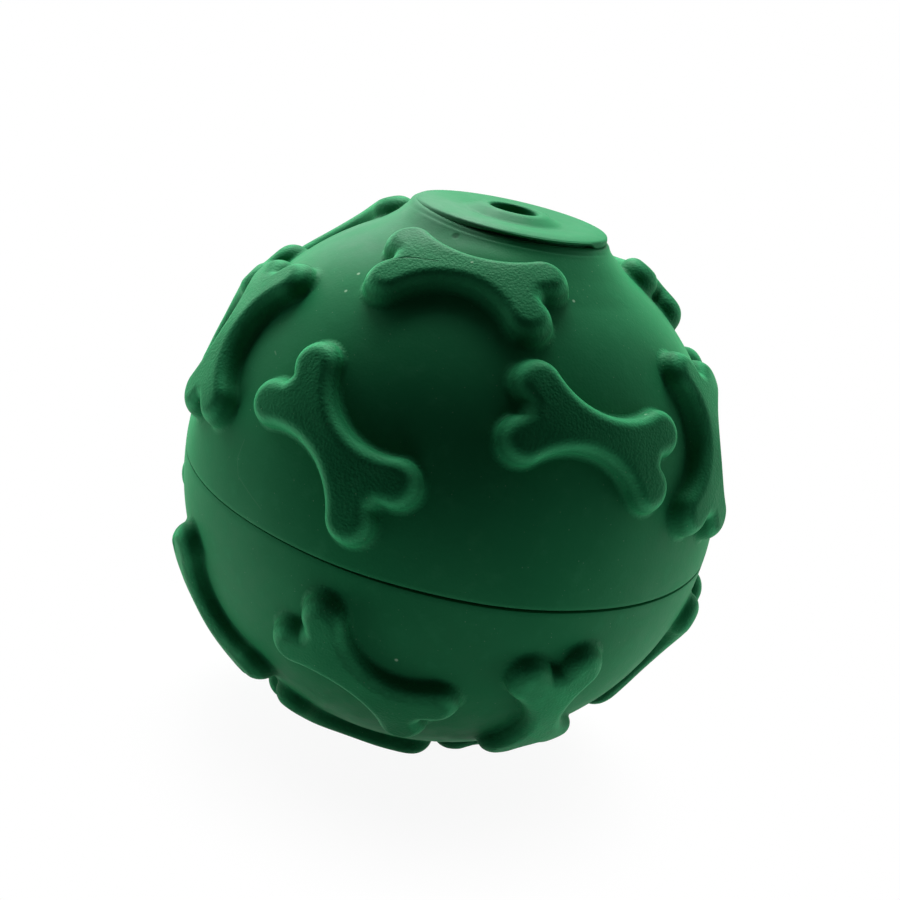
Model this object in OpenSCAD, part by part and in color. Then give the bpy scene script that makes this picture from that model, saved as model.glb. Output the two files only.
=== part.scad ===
/* [Ball] */
// Radius of the bare ball, without its bones
ball_r = 37.5; // [34:0.5:44]
// Thickness of the rubber wall
wall = 4; // [3.4:0.1:5]
// How far the seam plane lies below the ball's centre
seam_drop = 1.3; // [0.5:0.1:2]
// Bevel of each lip where the two halves meet
lip_bevel = 0.3; // [0.1:0.05:0.5]

/* [Bones] */
// From a bone's middle to the centre of a lobe, along the bone
lobe_along = 9.2; // [8.6:0.1:9.4]
// From a bone's middle line to the centre of a lobe
lobe_aside = 3.6; // [3.3:0.05:3.8]
// Radius of a lobe
lobe_r = 3.25; // [3:0.05:3.4]
// Half of the width of a bone's shank at its waist
shank_half = 2.8; // [2:0.1:3.2]
// Depth of the notch between the two lobes of an end
notch_depth = 2.35; // [1.8:0.05:2.8]
// Height of a bone above the ball
bone_h = 2.8; // [1.5:0.1:3.5]

/* [Joint collars] */
// Rubber left outside the collars
lip_t = 2.5; // [2:0.1:3]
// Depth of each collar in its half
collar_h = 6; // [4:0.5:8]
// Gap left for the bond between each collar and its half
bond_gap = 0.05; // [0.02:0.01:0.1]
// Wall of the upper collar
collar_t = 1.6; // [1.2:0.1:2]
// Wall of the spigot on the lower collar
spigot_t = 1.4; // [1:0.1:2]
// Height of the spigot above the seam
spigot_h = 5.5; // [3.5:0.5:5.5]
// Radial clearance between the spigot and the upper collar
spigot_fit = 0.06; // [0.02:0.01:0.1]

/* [Mouth] */
// Radius of the mouth plug's flange
flange_r = 13.1; // [12:0.1:13.4]
// How far the seat for the flange lies below the crown of the bare ball
seat_drop = 0.3; // [0.2:0.1:0.6]
// Thickness of the flange at its rim
flange_t = 1; // [0.9:0.1:1.4]
// Radius of the rounding at the top of the flange's rim
rim_round = 0.5; // [0.3:0.1:0.7]
// Radius of the neck under the flange
neck_r = 10; // [9:0.1:10.6]
// How much narrower the neck is at its lower end
neck_taper = 0.4; // [0.2:0.1:0.8]
// Radial clearance round the neck
neck_fit = 0.08; // [0.04:0.01:0.1]
// Wall of the neck's skirt
skirt_t = 1.7; // [1.2:0.1:2.2]
// Radius of the hole that the treats fall through
hole_r = 3.2; // [2.6:0.1:3.8]
// Wall of the chute round the hole
chute_t = 2; // [1.2:0.1:2.4]
// Length of the chute below the seat
chute_len = 10.9; // [8:0.1:13]
// Height of the hub round the hole above the rim
hub_h = 0.9; // [0.6:0.1:1.4]
// Radius of the hub's flat top
hub_r = 4.7; // [4.4:0.1:5.4]
// Radius of the ring groove round the hub
groove_r = 6.6; // [6:0.1:7.4]
// Depth of the ring groove below the rim
groove_d = 0.3; // [0:0.1:0.6]
// Radius of the boss under the flange
boss_r = 13.3; // [13.2:0.1:13.6]
// Width of the boss's flare down to the ball
flare_w = 3.6; // [3:0.1:4]

/* [Hidden] */
$fn = 96;

// Every cut runs this far past what it cuts
overrun = 1;
// A lobe laps into the sweep of the waist by this much, so the two arcs cross and don't just touch
lobe_lap = 0.05;

cavity_r = ball_r - wall;
crest_r = ball_r + bone_h;
seam_z = -seam_drop;

// Waist of a bone: the circle that passes shank_half from the middle line and meets the lobes
lap_r = lobe_r - lobe_lap;
waist_r = (pow(lobe_along, 2) + pow(shank_half - lobe_aside, 2) - pow(lap_r, 2))
    / (2 * (lap_r + lobe_aside - shank_half));
waist_y = shank_half + waist_r;
notch_x = lobe_along + lobe_r - notch_depth;

// A bone's flat underside lies in the middle of the rubber that all of it covers
bone_reach = norm([lobe_along, lobe_aside]) + lobe_r;
bone_floor = (cavity_r + sqrt(pow(ball_r, 2) - pow(bone_reach, 2))) / 2;

// Where the bones lie: angle from the mouth, angle round the ball, and turn from east towards north
UPPER_BONES = [
    [31, -100.5, 0], [36.5, 41, -10], [45, 94, 84.5], [43, 145.5, -80],
    [62.5, -154, -76.5], [70, -114, -32], [59.5, -62, -14.5], [62.5, -26, 73],
    [68, 31.5, -73.5], [70, 64, -24], [73, 112, 12], [66.5, 169.5, 71.5],
];
LOWER_BONES = [
    [121, -146.5, -57.5], [114, -98, -32], [118.5, -56.5, -74], [117, -5.5, 95],
    [118, 38, -50], [114, 82, 32], [120, 122.5, -65], [116, 165, 67.5],
    [155.5, -115, -40.5], [158.5, -3.5, 3], [155, 126, 12],
];

// Collars
rebate_r = ball_r - lip_t;
collar_or = rebate_r - bond_gap;
socket_r = collar_or - collar_t;
spigot_r = socket_r - spigot_fit;
spigot_ir = spigot_r - spigot_t;
collar_bottom = seam_z - collar_h;
collar_top = seam_z + collar_h;

// Mouth
seat_z = ball_r - seat_drop;
rim_z = seat_z + flange_t;
hub_z = rim_z + hub_h;
chute_r = hole_r + chute_t;
chute_z = seat_z - chute_len;
neck_z = sqrt(pow(cavity_r, 2) - pow(neck_r, 2));
neck_low_r = neck_r - neck_taper;
flare_r = boss_r + flare_w;
flare_z = sqrt(pow(ball_r, 2) - pow(flare_r, 2));
boss_h = seat_z - flare_z;
// The flare's foot sinks this far into the ball, so the two surfaces cross and don't just touch
flare_sink = 0.25;
web_z = (seat_z + neck_z) / 2;

// Colours
GREEN = [0.03, 0.33, 0.17];
PALE = [0.82, 0.84, 0.80];

// Flat outline of a bone: four round lobes, and a web that two big circles draw in at the waist
module bone_outline() {
    for (x = [-1, 1], y = [-1, 1])
        translate([x * lobe_along, y * lobe_aside]) circle(lobe_r);
    difference() {
        polygon([
            for (s = [1, -1]) each [
                [0, s * waist_y],
                [s * lobe_along, s * lobe_aside],
                [s * notch_x, s * lobe_aside / 2],
                [s * notch_x, -s * lobe_aside / 2],
                [s * lobe_along, -s * lobe_aside],
            ]
        ]);
        for (y = [-1, 1]) translate([0, y * waist_y]) circle(waist_r);
    }
}

// One bone, standing on the ball where its place says
module bone(place) {
    rotate([0, 0, place[1]]) rotate([0, place[0], 0]) rotate([0, 0, 90 + place[2]])
        translate([0, 0, bone_floor])
            linear_extrude(crest_r - bone_floor) bone_outline();
}

// All bones of a half, with tops that follow the ball
module bones(places) {
    intersection() {
        sphere(crest_r);
        union() for (place = places) bone(place);
    }
}

// Ring of a right-angled section, between two radii and two heights
module ring(inner, outer, low, high) {
    translate([0, 0, low]) difference() {
        cylinder(r = outer, h = high - low);
        translate([0, 0, -overrun]) cylinder(r = inner, h = high - low + 2 * overrun);
    }
}

// Everything on one side of the seam plane: side is 1 above it and -1 below
module half_space(side) {
    reach = crest_r + overrun;
    translate([-reach, -reach, side > 0 ? seam_z : seam_z - 2 * reach]) cube(2 * reach);
}

// The bevel that the lip of a half leaves at the seam, as a cut: side as above
module lip_cut(side) {
    rotate_extrude() polygon([
        [ball_r - lip_bevel, seam_z],
        [ball_r + overrun, seam_z + side * (lip_bevel + overrun)],
        [ball_r + overrun, seam_z - side * overrun],
        [ball_r - lip_bevel, seam_z - side * overrun],
    ]);
}

// Bowl or dome of the ball's wall
module half_wall(side) {
    difference() {
        intersection() {
            sphere(ball_r);
            half_space(side);
        }
        sphere(cavity_r);
        lip_cut(side);
    }
}

// The seat of a half's collar, as a cut through the wall and through what the bones add to it
module rebate(side) {
    translate([0, 0, side > 0 ? seam_z - overrun : collar_bottom])
        cylinder(r = rebate_r, h = collar_h + overrun);
}

// Rubber bowl with its moulded bones
module lower_shell() {
    color(GREEN) difference() {
        union() {
            half_wall(-1);
            bones(LOWER_BONES);
        }
        rebate(-1);
    }
}

// Rubber dome with its moulded bones, the boss of the mouth and the tapered hole for the plug
module upper_shell() {
    color(GREEN) difference() {
        union() {
            half_wall(1);
            bones(UPPER_BONES);
            rotate_extrude() polygon([
                [0, neck_z],
                [0, seat_z],
                [boss_r, seat_z],
                [boss_r + flare_w * 0.14, seat_z - boss_h * 0.27],
                [boss_r + flare_w * 0.5, seat_z - boss_h * 0.55],
                [flare_r, flare_z - flare_sink],
                [flare_r, neck_z],
            ]);
        }
        rebate(1);
        neck_hole();
    }
}

// The tapered hole through the boss and the wall, cut on past the crown of the bare ball
module neck_hole() {
    slope = neck_taper / (seat_z - neck_z);
    low = neck_z - overrun;
    high = ball_r + overrun;
    translate([0, 0, low])
        cylinder(
            r1 = neck_r + neck_fit + slope * (low - seat_z),
            r2 = neck_r + neck_fit + slope * (high - seat_z),
            h = high - low
        );
}

// Rigid ring in the lower half: it stands out of the seam as a spigot
module lower_collar() {
    color(PALE) difference() {
        union() {
            translate([0, 0, collar_bottom]) cylinder(r = collar_or, h = collar_h);
            translate([0, 0, collar_bottom]) cylinder(r = spigot_r, h = collar_h + spigot_h);
        }
        translate([0, 0, collar_bottom - overrun])
            cylinder(r = spigot_ir, h = collar_h + spigot_h + 2 * overrun);
    }
}

// Rigid ring in the upper half, pushed over the spigot
module upper_collar() {
    color(PALE) ring(socket_r, collar_or, seam_z, collar_top);
}

// Rubber plug: a domed flange, a tapered neck with a skirt, and the chute that the treats fall through
module mouth_plug() {
    color(GREEN) difference() {
        rotate_extrude() polygon([
            [0, chute_z],
            [chute_r, chute_z],
            [chute_r, web_z],
            [neck_low_r - skirt_t, web_z],
            [neck_low_r - skirt_t, neck_z],
            [neck_low_r, neck_z],
            [neck_r, seat_z],
            [flange_r, seat_z],
            [flange_r, rim_z - rim_round],
            [flange_r - rim_round, rim_z],
            [(flange_r + groove_r) / 2, rim_z],
            [groove_r, rim_z - groove_d],
            [hub_r, hub_z],
            [0, hub_z],
        ]);
        translate([0, 0, chute_z - overrun])
            cylinder(r = hole_r, h = hub_z - chute_z + 2 * overrun);
    }
}

lower_shell();
upper_shell();
lower_collar();
upper_collar();
mouth_plug();
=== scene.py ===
"""A hollow green rubber treat ball with raised bones, dressed over its CAD frame."""
import math

import bmesh
import bpy
import numpy as np
from bpy.props import FloatProperty, FloatVectorProperty, PointerProperty
from mathutils import Matrix, Vector


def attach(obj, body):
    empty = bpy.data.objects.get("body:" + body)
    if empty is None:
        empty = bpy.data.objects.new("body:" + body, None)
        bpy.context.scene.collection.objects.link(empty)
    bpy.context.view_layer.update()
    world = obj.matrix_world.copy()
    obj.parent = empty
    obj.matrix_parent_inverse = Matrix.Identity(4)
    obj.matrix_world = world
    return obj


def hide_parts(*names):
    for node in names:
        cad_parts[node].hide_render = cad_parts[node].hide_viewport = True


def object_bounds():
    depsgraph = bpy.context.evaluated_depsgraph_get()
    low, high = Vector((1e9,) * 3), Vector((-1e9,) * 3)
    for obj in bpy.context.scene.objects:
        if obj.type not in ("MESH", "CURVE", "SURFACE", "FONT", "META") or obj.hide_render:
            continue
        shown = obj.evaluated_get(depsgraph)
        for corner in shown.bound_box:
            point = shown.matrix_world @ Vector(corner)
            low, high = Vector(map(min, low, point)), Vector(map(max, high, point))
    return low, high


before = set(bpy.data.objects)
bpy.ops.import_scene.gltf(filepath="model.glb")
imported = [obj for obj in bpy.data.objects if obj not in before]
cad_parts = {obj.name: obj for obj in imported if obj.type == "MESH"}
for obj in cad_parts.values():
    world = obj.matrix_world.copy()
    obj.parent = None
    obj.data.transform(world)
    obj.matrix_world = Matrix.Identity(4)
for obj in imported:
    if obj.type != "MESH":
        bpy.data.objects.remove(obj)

bl_info = {
    "name": "Treat ball",
    "version": (1, 0, 0),
    "blender": (4, 5, 0),
    "location": "View3D > Sidebar > Treat ball",
    "description": "Builds a hollow rubber treat ball with raised bones, its mouth plug and its collars",
    "category": "Add Mesh",
}

CAD_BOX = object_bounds()
MM = 0.001

# Sizes shared with the CAD source, in millimetres
BALL_R = 37.5
CAVITY_R = 33.5
SEAM_Z = -1.3
REBATE_R = 35.0
LIP_BEVEL = 0.3
COLLAR_H = 6.0
COLLAR_R = 34.95
SOCKET_R = 33.35
SPIGOT_R = 33.29
SPIGOT_BORE_R = 31.89
SPIGOT_H = 5.5
SEAT_Z = 37.2
NECK_R = 10.0
NECK_LOW_R = 9.6
NECK_FIT = 0.08
NECK_Z = math.sqrt(CAVITY_R**2 - NECK_R**2)
SKIRT_R = 7.9
WEB_Z = 34.6
HOLE_R = 3.2
CHUTE_R = 5.2
CHUTE_Z = 26.3
FLARE_R = 16.9
FLARE_Z = math.sqrt(BALL_R**2 - FLARE_R**2)
BONE_H = 2.8

# Outline of a bone at its soft edge, a little inside the solid's
LOBE_ALONG = 8.85
LOBE_ASIDE = 3.5
LOBE_R = 3.05
NOTCH_X = 9.75

# Where the bones lie: angle from the mouth, angle round the ball, turn from east to north, height
UPPER_BONES = np.array([
    [31, -100.5, 0, 2.8], [36.5, 41, -10, 2.8], [45, 94, 84.5, 2.7], [43, 145.5, -80, 2.7],
    [62.5, -154, -76.5, 2.7], [70, -114, -32, 2.7], [58.6, -61.3, -16.5, 2.7], [62.5, -26, 73, 2.7],
    [68, 31.5, -73.5, 2.7], [70, 64, -24, 2.7], [73, 112, 12, 2.7], [66.5, 169.5, 71.5, 2.5],
])
LOWER_BONES = np.array([
    [121, -146.5, -57.5, 2.7], [114, -98, -32, 2.6], [118.5, -56.5, -74, 2.3], [117, -5.5, 95, 2.5],
    [118, 38, -50, 2.7], [114, 82, 32, 2.6], [120, 122.5, -65, 2.6], [116, 165, 67.5, 2.6],
    [155.5, -115, -40.5, 2.4], [158.5, -3.5, 3, 2.6], [155, 126, 12, 2.6],
])

# Marks of this one ball, as places in millimetres, with painted shade in the crease and the pit; each spot of
# painted reflection also has its radius
SPECKS = [
    (-9.6, -9.4, 36.0), (-3.4, -20.0, 34.6), (9.7, -16.7, 32.2), (-16.9, -16.3, 29.3), (-17.8, -18.6, 27.4),
    (21.1, -23.6, 22.5), (-1.2, -35.7, -11.4),
]
HAIR = [
    (-25.6, -26.2, 8.2), (-26.0, -26.5, 5.6), (-25.4, -27.4, 3.8), (-23.2, -29.4, 2.6), (-21.4, -30.8, 1.7),
]
SCRATCH = [(-24.6, -21.4, 18.6), (-24.2, -21.9, 18.3)]
CREASE = [(-13.7, -19.4, 32.4), (-10.8, -19.6, 33.4), (-7.5, -20.2, 33.8)]
PIT = (-6.3, -13.4, 36.2)
# Spots of painted reflection, washed grey-green, left of the mouth
REFLECTION_SPOTS = [(-16.0, -5.0, 34.0, 14), (-10.0, -8.5, 38.0, 13)]

# Camera: degrees from the mouth axis and of roll, distance in ball radii, lens in mm, and shifts
PHOTO_TILT = 69.3
PHOTO_ROLL = 13.4
CAMERA_AWAY = 5
LENS = 52.3
SHIFT_X = -0.0007
SHIFT_Y = 0.0279

# Softboxes: side and distance in metres, and where each stands to the right, up and back of the camera's view
SOFTBOX_SIDE = 0.26
SOFTBOX_AWAY = 0.42
SOFTBOXES = {
    "key": (-0.55, 0.75, -0.45),
    "rim": (0.85, -0.45, -0.25),
    "side": (-1.0, -0.35, -0.15),
    "top": (0.05, 1.0, -0.30),
    "low": (0.0, -0.95, 0.30),
}

# Rings of the round floor, in metres
FLOOR_RINGS = [0.0, 0.022, 0.038, 0.05]


# Meshes

def put_mesh(name, points, faces, body, material, sharp=40):
    """Turns points in millimetres and quads into a smooth object that rides on a body."""
    mesh = bpy.data.meshes.new(name)
    mesh.from_pydata((points.reshape(-1, 3) * MM).tolist(), [], faces.tolist())
    work = bmesh.new()
    work.from_mesh(mesh)
    bmesh.ops.remove_doubles(work, verts=work.verts, dist=1e-7)
    work.to_mesh(mesh)
    work.free()
    mesh.validate()
    mesh.shade_smooth()
    mesh.set_sharp_from_angle(angle=math.radians(sharp))
    mesh.materials.append(material)
    thing = bpy.data.objects.new(name, mesh)
    bpy.context.scene.collection.objects.link(thing)
    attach(thing, body)
    return thing


def grid_faces(rows, columns, closed_rows=False):
    """Quads of a grid of rows by columns. The columns close on themselves, and the rows do if asked."""
    last = rows if closed_rows else rows - 1
    i, j = np.meshgrid(np.arange(last), np.arange(columns), indexing="ij")
    below, beside = (i + 1) % rows, (j + 1) % columns
    corners = [i * columns + j, below * columns + j, below * columns + beside, i * columns + beside]
    return np.stack(corners, -1).reshape(-1, 4)


def soften(corners, radii, steps=6):
    """Rounds the corners of an open profile.

    At each inner corner the curve leaves one edge at the corner's radius and joins the next at the same
    distance, as (1-u)^2 A + 2u(1-u) P + u^2 B with P the corner and u from 0 to 1.
    """
    corners = np.asarray(corners, float)
    before, at, after = corners[:-2], corners[1:-1], corners[2:]
    reach = np.asarray(radii, float)[:, None]
    to_before = (before - at) / np.linalg.norm(before - at, axis=1, keepdims=True)
    to_after = (after - at) / np.linalg.norm(after - at, axis=1, keepdims=True)
    start, end = at + reach * to_before, at + reach * to_after
    u = np.linspace(0, 1, steps)[None, :, None]
    curve = (1 - u) ** 2 * start[:, None] + 2 * u * (1 - u) * at[:, None] + u**2 * end[:, None]
    return np.concatenate([corners[:1], curve.reshape(-1, 2), corners[-1:]])


def arc(radius, start, end, steps):
    """Points of a circle round the origin in the profile plane, at angles from the mouth axis in degrees."""
    angle = np.radians(np.linspace(start, end, steps))
    return np.stack([radius * np.sin(angle), radius * np.cos(angle)], 1)


def polar_at(radius, height):
    """Angle from the mouth axis, in degrees, of the circle's point at that height."""
    return math.degrees(math.acos(height / radius))


def turned(profile, columns, lift=None):
    """Points of a closed profile turned round the mouth axis: (r cos a, r sin a, z + lift(r, z, a))."""
    angle = np.linspace(0, 2 * np.pi, columns, endpoint=False)[None, :]
    r, z = profile[:, 0][:, None], profile[:, 1][:, None]
    height = z + (lift(r, z, angle) if lift else 0 * angle)
    return np.stack([r * np.cos(angle), r * np.sin(angle), height * np.ones_like(angle)], -1)


def smoothstep(low, high, value):
    """0 below low, 1 above high, and 3t^2 - 2t^3 between them."""
    t = np.clip((value - low) / (high - low), 0, 1)
    return t * t * (3 - 2 * t)


def seam_wave(angle):
    """How far the moulded seam wanders up or down, in millimetres: two slow waves and a small quick one."""
    front = angle + math.radians(68)
    return 0.35 - 0.1 * np.cos(2 * front) - 0.08 * np.cos(3 * front) + 0.03 * np.sin(11 * angle)


def seam_lift(r, z, angle):
    """Lift of the lips: they follow the seam's wave, lie flat at the collars and close at the left."""
    near_lip = np.exp(-((z - SEAM_Z) / 2.2) ** 2)
    wave = seam_wave(angle) * near_lip * smoothstep(REBATE_R + 0.4, BALL_R - 0.5, r)
    shut = smoothstep(0.1, 0.8, np.cos(angle - math.radians(-165))) * smoothstep(REBATE_R, BALL_R - 1.2, r)
    return wave - 0.88 * shut * (z - SEAM_Z) * np.exp(-((z - SEAM_Z) / 0.35) ** 2)


def dome_lift(r, z, angle):
    """Lift of the dome: the seam's wave below, and above it the boss.

    The lip of the boss swells at the left, its flank is full at the front, and it fills the valley up to the
    nearest bone, as a bell curve of the angle.
    """
    left = smoothstep(-0.1, 1.0, np.cos(angle - math.radians(165)))
    lip = smoothstep(12.3, 13.0, r) * (1 - smoothstep(13.6, 15.6, r)) * smoothstep(34.0, 35.5, z)
    front = smoothstep(-0.1, 0.7, np.cos(angle - math.radians(-85)))
    flank = smoothstep(13.5, 14.1, r) * (1 - smoothstep(17.0, 20.5, r)) * smoothstep(25.0, 30.0, z)
    near_bone = np.exp(-(np.arctan2(np.sin(angle + 1.7), np.cos(angle + 1.7)) / 0.45) ** 2)
    valley = smoothstep(14.0, 17.0, r) * (1 - smoothstep(19.0, 23.0, r)) * smoothstep(25.0, 30.0, z)
    return seam_lift(r, z, angle) + 0.5 * left * lip + 0.45 * front * flank + 0.7 * near_bone * valley


# Bones

def bone_outline(count):
    """A bone's outline, counter-clockwise from the notch at +x, as count points and as a finer line.

    One quarter is the notch, the lobe's arc and the sweep of the waist, which touches the lobe. The other
    quarters are its mirror images, and a running mean rounds the notch.
    """
    shank = bpy.context.scene.treat_ball_sizes.shank_half / MM
    waist_r = (LOBE_ALONG**2 + (shank - LOBE_ASIDE) ** 2 - LOBE_R**2) / (2 * (LOBE_R + LOBE_ASIDE - shank))
    waist_y = shank + waist_r
    span = math.hypot(LOBE_ALONG, waist_y - LOBE_ASIDE)
    touch = math.atan2(LOBE_ALONG, waist_y - LOBE_ASIDE)
    sweep = np.linspace(touch, 0, 90)
    waist = np.stack([waist_r * np.sin(sweep), waist_y - waist_r * np.cos(sweep)], 1)
    corner = -math.acos((NOTCH_X - LOBE_ALONG) / LOBE_R)
    turn = np.linspace(corner, math.atan2(waist_y - LOBE_ASIDE, -LOBE_ALONG), 160)
    lobe = np.stack([LOBE_ALONG + LOBE_R * np.cos(turn), LOBE_ASIDE + LOBE_R * np.sin(turn)], 1)
    assert abs(span - waist_r - LOBE_R) < 0.01, "the waist doesn't touch the lobe"
    quarter = np.concatenate([[[NOTCH_X, 0]], lobe, waist])
    half = np.concatenate([quarter, quarter[::-1] * [-1, 1]])
    whole = np.concatenate([half, half[::-1] * [1, -1]])
    step = np.linalg.norm(np.diff(whole, axis=0), axis=1)
    along = np.concatenate([[0], np.cumsum(step)])
    samples, wide = 1600, 13
    fine = np.linspace(0, along[-1], samples, endpoint=False)
    line = np.stack([np.interp(fine, along, whole[:, k]) for k in (0, 1)], 1)
    kernel = np.ones(wide) / wide
    wrapped = np.concatenate([line[-(wide // 2):], line, line[:wide // 2]])
    line = np.stack([np.convolve(wrapped[:, k], kernel, "valid") for k in (0, 1)], 1)
    return line[::samples // count], line


def bone_grid(height):
    """Flat places, heights above the ball and grid size of one bone.

    Rays run from the bone's middle line to its outline and a little past it. Each row of the grid is the
    line at one distance d inside the outline, found on the rays. Inside, the height is
    f + (H - f) sin(psi) where d = w (1 - cos(psi)): a quarter of an ellipse, then flat. Outside, it is a
    hollow quarter circle of radius f that runs out along the ball. The last rows close it in the rubber.
    """
    sizes = bpy.context.scene.treat_ball_sizes
    shoulder, fillet = sizes.shoulder / MM, sizes.fillet / MM
    middle_end = 6.4
    past_rim = 2.5
    sunk = -0.8
    steps = 130
    rim, fine = bone_outline(200)
    middle = np.stack([np.clip(rim[:, 0] * 0.8, -middle_end, middle_end), 0 * rim[:, 1]], 1)
    reach = np.linalg.norm(rim - middle, axis=1)
    share = np.linspace(0, 1, steps)
    run = share[None, :] * (reach[:, None] + past_rim)
    ray = (rim - middle) / reach[:, None]
    spot = middle[:, None] + run[..., None] * ray[:, None]
    near = np.stack([np.sqrt(((spot[:, k, None] - fine) ** 2).sum(-1)).min(1) for k in range(steps)], 1)
    depth = np.where(run < reach[:, None], near, -near)

    psi = np.radians(np.linspace(90, 0, 13))
    chi = np.radians(np.linspace(0, 90, 8)[1:])
    levels = np.concatenate([
        shoulder * (1 - np.cos(psi)),
        -fillet * (1 - np.cos(chi)),
        [-fillet - 0.12, -fillet - 0.16],
    ])
    heights = np.concatenate([
        fillet + (height - fillet) * np.sin(psi),
        fillet * (1 - np.sin(chi)),
        [-0.03, sunk],
    ])
    rows = []
    for level in levels:
        inside = np.clip((depth > level).sum(1), 1, steps - 1)[:, None]
        d0, d1 = np.take_along_axis(depth, inside - 1, 1), np.take_along_axis(depth, inside, 1)
        r0, r1 = np.take_along_axis(run, inside - 1, 1), np.take_along_axis(run, inside, 1)
        r = r0 + (r1 - r0) * np.clip((d0 - level) / np.maximum(d0 - d1, 1e-9), 0, 1)
        rows.append(middle + r * ray)
    crown = rows[0]
    flat = [middle + (crown - middle) * part for part in (0, 0.35, 0.7)]
    under = [middle + (rows[-1] - middle) * part for part in (0.6, 0)]
    places = np.stack(flat + rows + under)
    levels_up = np.concatenate([[height] * 3, heights, [sunk, sunk]])
    return places, levels_up


def bone_points(table):
    """Points of all bones of a half: x ex + y ey + sqrt((R + h)^2 - x^2 - y^2) c in each bone's own frame.

    c points out through the bone's middle, ex along it and ey across it. Slow sines in x and y give each
    soft top a little unevenness.
    """
    polar, azimuth, turn = np.radians(table[:, 0]), np.radians(table[:, 1]), np.radians(table[:, 2])
    c = np.stack([np.sin(polar) * np.cos(azimuth), np.sin(polar) * np.sin(azimuth), np.cos(polar)], 1)
    east = np.stack([-np.sin(azimuth), np.cos(azimuth), 0 * azimuth], 1)
    north = np.cross(c, east)
    ex = np.cos(turn)[:, None] * east + np.sin(turn)[:, None] * north
    ey = np.cross(c, ex)
    places, heights = bone_grid(BONE_H)
    x, y = places[None, ..., 0], places[None, ..., 1]
    tall = (table[:, 3] / BONE_H)[:, None, None]
    rise = np.where(heights > 0, heights, 0)[None, :, None]
    below = np.where(heights < 0, heights, 0)[None, :, None]
    phase = np.arange(len(table))[:, None, None] * 1.7
    uneven = 0.05 * np.sin(0.55 * x + phase) * np.cos(0.7 * y + 2 * phase) - 0.05
    h = rise * tall + below + uneven * smoothstep(1.5, 2.6, rise)
    z = np.sqrt((BALL_R + h) ** 2 - x**2 - y**2)
    ex, ey, c = (axis[:, None, None, :] for axis in (ex, ey, c))
    points = x[..., None] * ex + y[..., None] * ey + z[..., None] * c
    faces = grid_faces(places.shape[0], places.shape[1])
    each = places.shape[0] * places.shape[1]
    return points, (faces[None] + (np.arange(len(table)) * each)[:, None, None]).reshape(-1, 4)


# Materials

class Wire:
    """A value in a node tree. The arithmetic signs add Math nodes."""

    def __init__(self, tree, socket):
        self.tree = tree
        self.socket = socket

    def math(self, operation, *others):
        inputs = {k: value for k, value in enumerate((self, *others))}
        return self.tree.node("ShaderNodeMath", {"operation": operation}, inputs)

    def __add__(self, other):
        return self.math("ADD", other)

    def __rsub__(self, other):
        return self.tree.node("ShaderNodeMath", {"operation": "SUBTRACT"}, {0: other, 1: self})

    def __mul__(self, other):
        return self.math("MULTIPLY", other)

    def __truediv__(self, other):
        return self.math("DIVIDE", other)


class Tree:
    """The node tree of one material or of the world."""

    def __init__(self, owner):
        owner.use_nodes = True
        self.nodes = owner.node_tree.nodes
        self.links = owner.node_tree.links
        self.nodes.clear()

    def node(self, kind, settings=None, inputs=None, output=0):
        """Adds a node, sets its settings, then its inputs, and returns one of its outputs."""
        made = self.nodes.new(kind)
        for name, value in (settings or {}).items():
            setattr(made, name, value)
        for name, value in (inputs or {}).items():
            if isinstance(value, Wire):
                self.links.new(value.socket, made.inputs[name])
            else:
                made.inputs[name].default_value = value
        return Wire(self, made.outputs[output]) if len(made.outputs) else None

    def noise(self, place, scale, detail=2.0, roughness=0.5):
        """Cloudy value from 0 to 1 whose lumps are 1/scale metres across."""
        inputs = {"Vector": place, "Scale": scale, "Detail": detail, "Roughness": roughness}
        return self.node("ShaderNodeTexNoise", {}, inputs)

    def window(self, value, low, high, to_low=0.0, to_high=1.0):
        """Smooth step from to_low at low to to_high at high."""
        inputs = {"Value": value, "From Min": low, "From Max": high, "To Min": to_low, "To Max": to_high}
        return self.node("ShaderNodeMapRange", {"interpolation_type": "SMOOTHSTEP"}, inputs)

    def blend(self, factor, first, second):
        """Mixes two colours. They are sockets 6 and 7 of the node, and the mixed one is its output 2."""
        inputs = {0: factor, 6: first, 7: second}
        return self.node("ShaderNodeMix", {"data_type": "RGBA"}, inputs, 2)

    def away_from(self, place, centre):
        """Distance in metres from a point given in millimetres."""
        inputs = {0: place, 1: [value * MM for value in centre]}
        return self.node("ShaderNodeVectorMath", {"operation": "DISTANCE"}, inputs, 1)

    def away_from_line(self, place, start, end):
        """Distance in metres from a straight line between two points given in millimetres."""
        start, end = Vector(start) * MM, Vector(end) * MM
        along = end - start
        offset = self.node("ShaderNodeVectorMath", {"operation": "SUBTRACT"}, {0: place, 1: start})
        dot = self.node("ShaderNodeVectorMath", {"operation": "DOT_PRODUCT"}, {0: offset, 1: along}, 1)
        share = self.node("ShaderNodeClamp", {}, {"Value": dot / along.length_squared})
        step = self.node("ShaderNodeVectorMath", {"operation": "SCALE"}, {0: along, "Scale": share})
        return self.node("ShaderNodeVectorMath", {"operation": "DISTANCE"}, {0: offset, 1: step}, 1)

    def trail(self, place, points, width):
        """1 on a broken line through points given in millimetres, fading to 0 at a width from it."""
        near = None
        for start, end in zip(points[:-1], points[1:]):
            gap = self.away_from_line(place, start, end)
            near = gap if near is None else near.math("MINIMUM", gap)
        return self.window(near, 0.3 * width * MM, width * MM, 1.0, 0.0)

    def spot(self, place, centre, radius):
        """1 at a point given in millimetres, fading to 0 at the radius."""
        return self.window(self.away_from(place, centre), 0.4 * radius * MM, radius * MM, 1.0, 0.0)

    def bump(self, height, strength, distance, onto=None):
        """Bump normal of a height from 0 to 1 that stands for that distance in metres."""
        inputs = {"Strength": strength, "Distance": distance, "Height": height}
        if onto:
            inputs["Normal"] = onto
        return self.node("ShaderNodeBump", {}, inputs)


def rgba(colour):
    """A colour with full alpha."""
    return (*colour[:3], 1.0)


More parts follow.
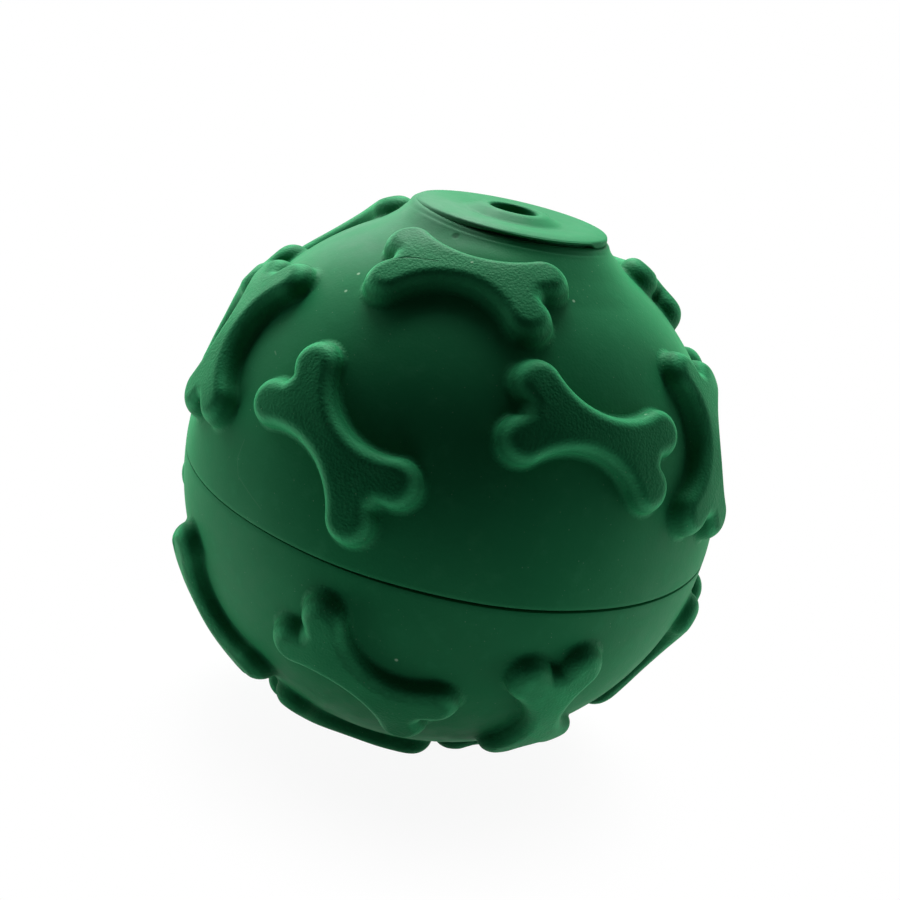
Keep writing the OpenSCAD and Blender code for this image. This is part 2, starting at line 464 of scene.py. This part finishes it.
def rubber(name, grain=1.0, edge_highlight=0.0):
    """Satin green rubber: cloudy tone, moulded grain, a dull bloom, dust, the few marks of this one ball with
    painted shade in its crease and pit, and a painted reflection left of the mouth.

    Its last argument is how far the edges of the bones are lightened with a painted highlight, in a band of
    heights above the ball.
    """
    look = bpy.context.scene.treat_ball_look
    material = bpy.data.materials.new(name)
    tree = Tree(material)
    place = tree.node("ShaderNodeTexCoord", {}, {}, "Object")
    cloud = tree.noise(place, 55, 3.0)
    mottle = tree.noise(place, 420, 3.0, 0.6)
    fine = tree.noise(place, 2600, 2.0, 0.6)
    cells = {"Vector": place, "Scale": 2900, "Smoothness": 0.6}
    leather = tree.node("ShaderNodeTexVoronoi", {"feature": "SMOOTH_F1"}, cells)

    tone = tree.blend(tree.window(cloud, 0.3, 0.7), rgba(look.rubber_deep), rgba(look.rubber))
    tone = tree.blend(tree.window(mottle, 0.52, 0.75) * 0.35, tone, rgba(look.rubber_pale))

    # Painted highlight: the edges of the bones are lightened in a band of heights above the ball, where light
    # catches them
    if edge_highlight:
        out = tree.away_from(place, (0, 0, 0))
        edge = tree.window(out, (BALL_R + 1.3) * MM, (BALL_R + 2.0) * MM)
        edge = edge * tree.window(out, (BALL_R + 2.2) * MM, (BALL_R + 2.6) * MM, 1.0, 0.0)
        edge = edge * tree.window(mottle, 0.3, 0.7, 0.6 * edge_highlight, edge_highlight)
        tone = tree.blend(edge, tone, rgba(look.rubber_highlight))

    sprinkle = {"Vector": place, "Scale": 1400}
    speck = tree.node("ShaderNodeTexVoronoi", {}, sprinkle, "Distance")
    pick = tree.node("ShaderNodeTexVoronoi", {}, sprinkle, "Color")
    pick = tree.node("ShaderNodeSeparateColor", {}, {"Color": pick}, 0)
    dust = tree.window(speck, 0.05, 0.15, 1.0, 0.0) * tree.window(pick, 0.5, 1.0) * 0.3
    for centre in SPECKS:
        dust = dust.math("MAXIMUM", tree.spot(place, centre, 0.3))
    dust = dust.math("MAXIMUM", tree.trail(place, HAIR, 0.12) * 0.07)
    dust = dust.math("MAXIMUM", tree.trail(place, SCRATCH, 0.14) * 0.3)
    tone = tree.blend(dust, tone, rgba(look.dust))

    # Painted reflection: washed grey-green spots left of the mouth, broken up by cloudy noise
    reflection_cloud = tree.noise(place, 160, 3.0, 0.6)
    painted_reflection = 0
    for *centre, radius in REFLECTION_SPOTS:
        painted_reflection = tree.spot(place, centre, radius).math("MAXIMUM", painted_reflection)
    painted_reflection = painted_reflection * tree.window(reflection_cloud, 0.3, 0.65, 0.55, 1.0)
    tone = tree.blend(painted_reflection * 0.45, tone, rgba(look.painted_reflection))
    # Crease and pit: real dents, darkened with painted shade
    crease = tree.trail(place, CREASE, 0.22) * tree.window(mottle, 0.3, 0.6, 0.4, 0.8)
    pit = tree.spot(place, PIT, 0.7) * 0.8
    dent_and_shade = crease.math("MAXIMUM", pit)
    tone = tree.blend(dent_and_shade * 0.8, tone, rgba(look.rubber_mark_shade))

    dull = tree.window(mottle, 0.35, 0.7, look.roughness - 0.04, look.roughness + 0.05)
    relief = tree.bump(fine * 0.5 + leather * 0.5, 0.3, 0.00006 * grain)
    relief = tree.bump(mottle, 0.2, 0.00012, relief)
    relief = tree.bump(1 - dent_and_shade, 0.4, 0.00015, relief)
    shader = tree.node("ShaderNodeBsdfPrincipled", {}, {
        "Base Color": tone,
        "Roughness": dull + dust * 0.2,
        "Normal": relief,
        "IOR": 1.5,
        "Specular IOR Level": look.gloss,
        "Sheen Weight": look.bloom,
        "Sheen Roughness": 0.4,
        "Sheen Tint": (0.12, 0.9, 0.34, 1.0),
    })
    tree.node("ShaderNodeOutputMaterial", {}, {"Surface": shader})
    return material


def collar_plastic(name):
    """Pale matte plastic with a fine moulded grain and faint flow clouds."""
    look = bpy.context.scene.treat_ball_look
    material = bpy.data.materials.new(name)
    tree = Tree(material)
    place = tree.node("ShaderNodeTexCoord", {}, {}, "Object")
    flow = tree.noise(place, 90, 4.0)
    grain = tree.noise(place, 3200, 2.0)
    darker = [0.86 * value for value in look.plastic]
    tone = tree.blend(tree.window(flow, 0.35, 0.7), rgba(look.plastic), rgba(darker))
    shader = tree.node("ShaderNodeBsdfPrincipled", {}, {
        "Base Color": tone,
        "Roughness": tree.window(flow, 0.3, 0.7, 0.48, 0.6),
        "Normal": tree.bump(grain, 0.2, 0.00005),
    })
    tree.node("ShaderNodeOutputMaterial", {}, {"Surface": shader})
    return material


def pale_floor(name):
    """Matte pale floor. The camera, gloss and clear things see it lit up to white, with its shadow."""
    material = bpy.data.materials.new(name)
    tree = Tree(material)
    path = tree.node("ShaderNodeLightPath").socket.node
    seen = Wire(tree, path.outputs["Is Camera Ray"])
    seen = seen.math("MAXIMUM", Wire(tree, path.outputs["Is Glossy Ray"]))
    seen = seen.math("MAXIMUM", Wire(tree, path.outputs["Is Transmission Ray"]))
    place = tree.node("ShaderNodeTexCoord", {}, {}, "Object")
    tone = tree.blend(tree.noise(place, 8, 2.0), (0.8, 0.8, 0.8, 1), (0.84, 0.84, 0.84, 1))
    lit = tree.node("ShaderNodeBsdfDiffuse", {}, {"Color": tone})
    white = tree.node("ShaderNodeEmission", {}, {"Color": (1, 1, 1, 1), "Strength": 1.0})
    far = tree.window(tree.away_from(place, (0, 0, -BALL_R)), 0.022, 0.049, 0.93, 1.0)
    mixed = tree.node("ShaderNodeMixShader", {}, {0: seen * far, 1: lit, 2: white})
    tree.node("ShaderNodeOutputMaterial", {}, {"Surface": mixed})
    return material


# Settings

class TreatBallSizes(bpy.types.PropertyGroup):
    """Sizes of the bones and of the soft edges."""
    shank_half: FloatProperty(
        name="Half shank", description="Half of a bone's width at its waist",
        default=0.0028, min=0.0022, max=0.0032, precision=4, unit="LENGTH")
    shoulder: FloatProperty(
        name="Shoulder", description="Width of the rounding along a bone's edge",
        default=0.0018, min=0.001, max=0.0026, precision=4, unit="LENGTH")
    fillet: FloatProperty(
        name="Fillet", description="Radius of the hollow where a bone runs out into the ball",
        default=0.0006, min=0.0002, max=0.0009, precision=4, unit="LENGTH")


class TreatBallLook(bpy.types.PropertyGroup):
    """Colours and finish of the rubber and of the plastic."""
    rubber: FloatVectorProperty(
        name="Rubber", description="Main green of the rubber",
        default=(0.016, 0.190, 0.073), min=0, max=1, subtype="COLOR")
    rubber_deep: FloatVectorProperty(
        name="Deep rubber", description="Darker green of its clouds",
        default=(0.012, 0.165, 0.062), min=0, max=1, subtype="COLOR")
    rubber_pale: FloatVectorProperty(
        name="Pale rubber", description="Paler green of its fine mottle",
        default=(0.029, 0.225, 0.094), min=0, max=1, subtype="COLOR")
    # Colour of the painted highlight along the edges of the bones
    rubber_highlight: FloatVectorProperty(
        name="Highlit edges", description="Lighter green along the edges of the bones",
        default=(0.042, 0.37, 0.15), min=0, max=1, subtype="COLOR")
    # Colour of the painted shade in the crease and the pit
    rubber_mark_shade: FloatVectorProperty(
        name="Marks", description="Dark green of the crease and the pit",
        default=(0.002, 0.03, 0.012), min=0, max=1, subtype="COLOR")
    # Colour of the painted reflection left of the mouth
    painted_reflection: FloatVectorProperty(
        name="Reflection", description="Washed-out green left of the mouth",
        default=(0.115, 0.215, 0.158), min=0, max=1, subtype="COLOR")
    dust: FloatVectorProperty(
        name="Dust", description="Colour of the pale specks",
        default=(0.30, 0.52, 0.34), min=0, max=1, subtype="COLOR")
    plastic: FloatVectorProperty(
        name="Plastic", description="Colour of the two collars",
        default=(0.62, 0.64, 0.60), min=0, max=1, subtype="COLOR")
    roughness: FloatProperty(
        name="Roughness", description="Roughness of the rubber",
        default=0.55, min=0, max=1, subtype="FACTOR")
    gloss: FloatProperty(
        name="Gloss", description="Strength of the rubber's reflection",
        default=0.03, min=0, max=1, subtype="FACTOR")
    bloom: FloatProperty(
        name="Bloom", description="Green bloom on the rubber at low angles",
        default=0.3, min=0, max=1, subtype="FACTOR")


class TreatBallStage(bpy.types.PropertyGroup):
    """Light levels of the studio."""
    key: FloatProperty(name="Key", description="Softbox at the upper left", default=0.95, min=0, unit="POWER")
    rim: FloatProperty(name="Rim", description="Softbox low at the right", default=0.33, min=0, unit="POWER")
    side: FloatProperty(name="Side", description="Softbox low at the left", default=0.6, min=0, unit="POWER")
    top: FloatProperty(name="Top", description="Softbox behind the top", default=3.15, min=0, unit="POWER")
    low: FloatProperty(name="Low", description="Softbox low in front", default=0.44, min=0, unit="POWER")
    around: FloatProperty(name="Around", description="Even light from all sides", default=0.04, min=0)
    behind: FloatProperty(name="Behind", description="Light of the white backdrop", default=1.35, min=0)


# Pieces

class TREATBALL_OT_halves(bpy.types.Operator):
    """Turns the two rubber halves, with the boss of the mouth and the seats of the collars"""
    bl_idname = "treat_ball.halves"
    bl_label = "Halves"

    def execute(self, context):
        material = rubber("green_rubber_shell")
        half_gap = 0.02
        columns = 300
        groove = np.array([
            [BALL_R - 0.06, 0.2], [BALL_R - 0.3, 0.11], [BALL_R - 1.2, 0.1], [BALL_R - 1.4, half_gap],
        ])
        foot = polar_at(BALL_R, FLARE_Z) + 3.5
        flare = [[10.2, SEAT_Z - 0.05], [12.2, SEAT_Z - 0.05], [12.7, SEAT_Z + 0.02], [13.45, SEAT_Z - 0.12],
                 [13.95, SEAT_Z - 1.1], [15.3, SEAT_Z - 2.2], [17.3, 33.3], arc(BALL_R, foot, foot, 1)[0]]
        upper = np.concatenate([
            soften(flare, [0.2, 0.25, 0.35, 0.5, 0.9, 1.0])[:-1],
            arc(BALL_R, foot, polar_at(BALL_R, SEAM_Z + LIP_BEVEL), 96),
            groove + [0, SEAM_Z],
            [[REBATE_R, SEAM_Z + half_gap], [REBATE_R, SEAM_Z + COLLAR_H]],
            arc(CAVITY_R, polar_at(CAVITY_R, SEAM_Z + COLLAR_H), polar_at(CAVITY_R, NECK_Z), 60),
            [[NECK_R + NECK_FIT, SEAT_Z]],
        ])
        lower = np.concatenate([
            arc(CAVITY_R, 180, polar_at(CAVITY_R, SEAM_Z - COLLAR_H), 60),
            [[REBATE_R, SEAM_Z - COLLAR_H], [REBATE_R, SEAM_Z - half_gap]],
            groove[::-1] * [1, -1] + [0, SEAM_Z],
            arc(BALL_R, polar_at(BALL_R, SEAM_Z - LIP_BEVEL), 180, 96),
        ])
        for name, profile, body, node, hollow, lift in (
                ("upper_dome", upper, "upper_half", "upper_shell", True, dome_lift),
                ("lower_bowl", lower, "lower_half", "lower_shell", False, seam_lift)):
            points = turned(profile, columns, lift)
            faces = grid_faces(len(profile), columns, closed_rows=hollow)
            piece = put_mesh(name, points, faces, body, material)
            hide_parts(node)
        return {"FINISHED"}


class TREATBALL_OT_bones(bpy.types.Operator):
    """Raises the moulded bones on both halves"""
    bl_idname = "treat_ball.bones"
    bl_label = "Bones"

    def execute(self, context):
        # The bones' rubber carries a painted highlight along their edges
        material = rubber("green_rubber_bone", grain=5.0, edge_highlight=0.6)
        for name, table, body, node in (
                ("upper_bones", UPPER_BONES, "upper_half", "upper_shell"),
                ("lower_bones", LOWER_BONES, "lower_half", "lower_shell")):
            points, faces = bone_points(table)
            piece = put_mesh(name, points, faces, body, material, sharp=80)
            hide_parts(node)
        return {"FINISHED"}


def flange_lift(r, z, angle):
    """Lift of the disc: it tips a little to the left.

    The gap under its rim opens at the front right, between two angles in degrees, and closes elsewhere.
    """
    tip = 0.15 * np.cos(angle) * smoothstep(6.0, 12.0, r) * smoothstep(SEAT_Z + 0.1, SEAT_Z + 0.5, z)
    around = np.degrees(np.arctan2(np.sin(angle), np.cos(angle)))
    opening = smoothstep(-135, -70, around) * (1 - smoothstep(-37, -27, around))
    under = smoothstep(11.9, 12.9, r) * (1 - smoothstep(37.55, 38.0, z))
    return tip + (0.62 * opening - 0.26) * under


class TREATBALL_OT_plug(bpy.types.Operator):
    """Turns the mouth plug: its disc with rim, groove and hub, its neck and its chute"""
    bl_idname = "treat_ball.plug"
    bl_label = "Mouth plug"

    def execute(self, context):
        joint, hub_top = 37.6, 38.95
        hub = [[HOLE_R, joint], [HOLE_R, hub_top], [4.4, hub_top], [5.5, 38.5]]
        disc = [[6.6, 38.02], [7.8, 38.15], [11.2, 38.3], [13.05, 38.05], [13.05, 37.5], [12.0, 37.45]]
        neck = [[12.0, SEAT_Z], [NECK_R, SEAT_Z], [NECK_LOW_R, NECK_Z], [SKIRT_R, NECK_Z], [SKIRT_R, WEB_Z]]
        chute = [[CHUTE_R, WEB_Z], [CHUTE_R, CHUTE_Z], [HOLE_R, CHUTE_Z], [HOLE_R, joint]]
        radii = [0.5, 0.55, 0.5, 0.55, 0.5, 0.9, 0.45, 0.12, 0.1, 0.1, 0.2, 0.3, 0.3, 0.3, 0.3, 0.4, 0.3]
        columns = 240
        profile = soften(hub + disc + neck + chute, radii)[:-1]
        points = turned(profile, columns, flange_lift)
        faces = grid_faces(len(profile), columns, closed_rows=True)
        material = rubber("green_rubber_plug")
        piece = put_mesh("mouth_disc", points, faces, "plug", material, sharp=60)
        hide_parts("mouth_plug")
        return {"FINISHED"}


class TREATBALL_OT_collars(bpy.types.Operator):
    """Turns the two rigid collars with their rounded edges"""
    bl_idname = "treat_ball.collars"
    bl_label = "Collars"

    def execute(self, context):
        material = collar_plastic("collar_plastic")
        columns = 240
        low, high, top = SEAM_Z - COLLAR_H, SEAM_Z + COLLAR_H, SEAM_Z + SPIGOT_H
        start = [SOCKET_R, SEAM_Z + 2]
        upper = [start, [SOCKET_R, high], [COLLAR_R, high], [COLLAR_R, SEAM_Z], [SOCKET_R, SEAM_Z], start]
        start = [SPIGOT_BORE_R, SEAM_Z]
        lower = [start, [SPIGOT_BORE_R, top], [SPIGOT_R, top], [SPIGOT_R, SEAM_Z], [COLLAR_R, SEAM_Z],
                 [COLLAR_R, low], [SPIGOT_BORE_R, low], start]
        for name, corners, radii, body, node in (
                ("upper_ring", upper, [0.25, 0.2, 0.2, 0.3], "upper_half", "upper_collar"),
                ("lower_ring", lower, [0.2, 0.5, 0.05, 0.2, 0.2, 0.3], "lower_half", "lower_collar")):
            profile = soften(corners, radii, 4)[:-1]
            points = turned(profile, columns)
            faces = grid_faces(len(profile), columns, closed_rows=True)
            piece = put_mesh(name, points, faces, body, material, sharp=50)
            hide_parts(node)
        return {"FINISHED"}


def photo_axes():
    """Right, up and back of the camera, which stands on the -Y side and is tilted and rolled."""
    tilt, roll = math.radians(PHOTO_TILT), math.radians(PHOTO_ROLL)
    back = Vector((0, -math.sin(tilt), math.cos(tilt)))
    side = Vector((1, 0, 0))
    over = back.cross(side)
    right = math.cos(roll) * side + math.sin(roll) * over
    up = back.cross(right)
    return right, up, back


def add_camera():
    """The camera, shifted so that the ball stands in the picture as in the photograph."""
    right, up, back = photo_axes()
    data = bpy.data.cameras.new("photo_camera")
    data.sensor_width = 36
    data.lens = LENS
    data.shift_x = SHIFT_X
    data.shift_y = SHIFT_Y
    camera = bpy.data.objects.new("photo_camera", data)
    turn = Matrix((right, up, back)).transposed().to_4x4()
    turn.translation = back * (CAMERA_AWAY * BALL_R * MM)
    camera.matrix_world = turn
    bpy.context.scene.collection.objects.link(camera)
    bpy.context.scene.camera = camera


def add_softbox(name, place, power):
    """A square softbox that looks at the ball's centre."""
    data = bpy.data.lights.new(name, "AREA")
    data.size = SOFTBOX_SIDE
    data.energy = power
    lamp = bpy.data.objects.new(name, data)
    place = Vector(place)
    lamp.matrix_world = Matrix.Translation(place) @ place.to_track_quat("Z", "Y").to_matrix().to_4x4()
    bpy.context.scene.collection.objects.link(lamp)


def add_world(stage):
    """White to the camera. To the ball, an even light, and the glow of a white backdrop beyond it.

    Facing is 1 straight away from the camera and -1 towards it, and the backdrop starts at a soft edge.
    """
    world = bpy.data.worlds.new("studio")
    bpy.context.scene.world = world
    tree = Tree(world)
    path = tree.node("ShaderNodeLightPath").socket.node
    seen = Wire(tree, path.outputs["Is Camera Ray"])
    seen = seen.math("MAXIMUM", Wire(tree, path.outputs["Is Transmission Ray"]))
    way = tree.node("ShaderNodeTexCoord", {}, {}, "Generated")
    back = photo_axes()[2]
    facing = tree.node("ShaderNodeVectorMath", {"operation": "DOT_PRODUCT"}, {0: way, 1: -back}, 1)
    gloss = Wire(tree, path.outputs["Is Glossy Ray"])
    edge = (-0.18, 0.1)
    lamp = tree.window(facing, *edge, stage.around, stage.behind)
    mirrored = tree.window(facing, *edge, stage.around, 1.0)
    level = lamp * (1 - gloss) + mirrored * gloss
    glow = tree.node("ShaderNodeBackground", {}, {"Color": (1, 1, 1, 1), "Strength": level})
    white = tree.node("ShaderNodeBackground", {}, {"Color": (1, 1, 1, 1), "Strength": 1.0})
    mixed = tree.node("ShaderNodeMixShader", {}, {0: seen, 1: glow, 2: white})
    tree.node("ShaderNodeOutputWorld", {}, {"Surface": mixed})


def add_floor():
    """A round pale floor under the ball: (r cos a, r sin a, lowest point of the ball)."""
    columns = 64
    angle = np.linspace(0, 2 * np.pi, columns, endpoint=False)
    r, a = np.meshgrid(FLOOR_RINGS, angle, indexing="ij")
    points = np.stack([r * np.cos(a), r * np.sin(a), np.full_like(r, CAD_BOX[0][2])], -1)
    mesh = bpy.data.meshes.new("floor")
    mesh.from_pydata(points.reshape(-1, 3).tolist(), [], grid_faces(len(FLOOR_RINGS), columns).tolist())
    mesh.materials.append(pale_floor("pale_floor"))
    floor = bpy.data.objects.new("floor", mesh)
    bpy.context.scene.collection.objects.link(floor)


class TREATBALL_OT_stage(bpy.types.Operator):
    """Sets up the camera, the floor, the softboxes and the white studio"""
    bl_idname = "treat_ball.stage"
    bl_label = "Stage"

    def execute(self, context):
        stage = context.scene.treat_ball_stage
        context.scene.view_settings.view_transform = "Standard"
        right, up, back = photo_axes()
        add_camera()
        for name, (x, y, z) in SOFTBOXES.items():
            add_softbox(name, SOFTBOX_AWAY * (x * right + y * up + z * back), getattr(stage, name))
        add_world(stage)
        add_floor()
        return {"FINISHED"}


class TREATBALL_PT_panel(bpy.types.Panel):
    """The steps that build the ball, and their settings"""
    bl_label = "Treat ball"
    bl_idname = "TREATBALL_PT_panel"
    bl_space_type = "VIEW_3D"
    bl_region_type = "UI"
    bl_category = "Treat ball"

    def draw(self, context):
        for group in ("treat_ball_sizes", "treat_ball_look", "treat_ball_stage"):
            settings = getattr(context.scene, group)
            for name in settings.__annotations__:
                self.layout.prop(settings, name)
        for step in STEPS:
            self.layout.operator(step.bl_idname)


STEPS = (TREATBALL_OT_halves, TREATBALL_OT_bones, TREATBALL_OT_plug, TREATBALL_OT_collars, TREATBALL_OT_stage)
GROUPS = (TreatBallSizes, TreatBallLook, TreatBallStage)


def register():
    for kind in (*GROUPS, *STEPS, TREATBALL_PT_panel):
        bpy.utils.register_class(kind)
    bpy.types.Scene.treat_ball_sizes = PointerProperty(type=TreatBallSizes)
    bpy.types.Scene.treat_ball_look = PointerProperty(type=TreatBallLook)
    bpy.types.Scene.treat_ball_stage = PointerProperty(type=TreatBallStage)


def unregister():
    del bpy.types.Scene.treat_ball_stage
    del bpy.types.Scene.treat_ball_look
    del bpy.types.Scene.treat_ball_sizes
    for kind in reversed((*GROUPS, *STEPS, TREATBALL_PT_panel)):
        bpy.utils.unregister_class(kind)


def main():
    register()
    bpy.ops.treat_ball.halves()
    bpy.ops.treat_ball.bones()
    bpy.ops.treat_ball.plug()
    bpy.ops.treat_ball.collars()
    bpy.ops.treat_ball.stage()


if __name__ == "__main__":
    main()
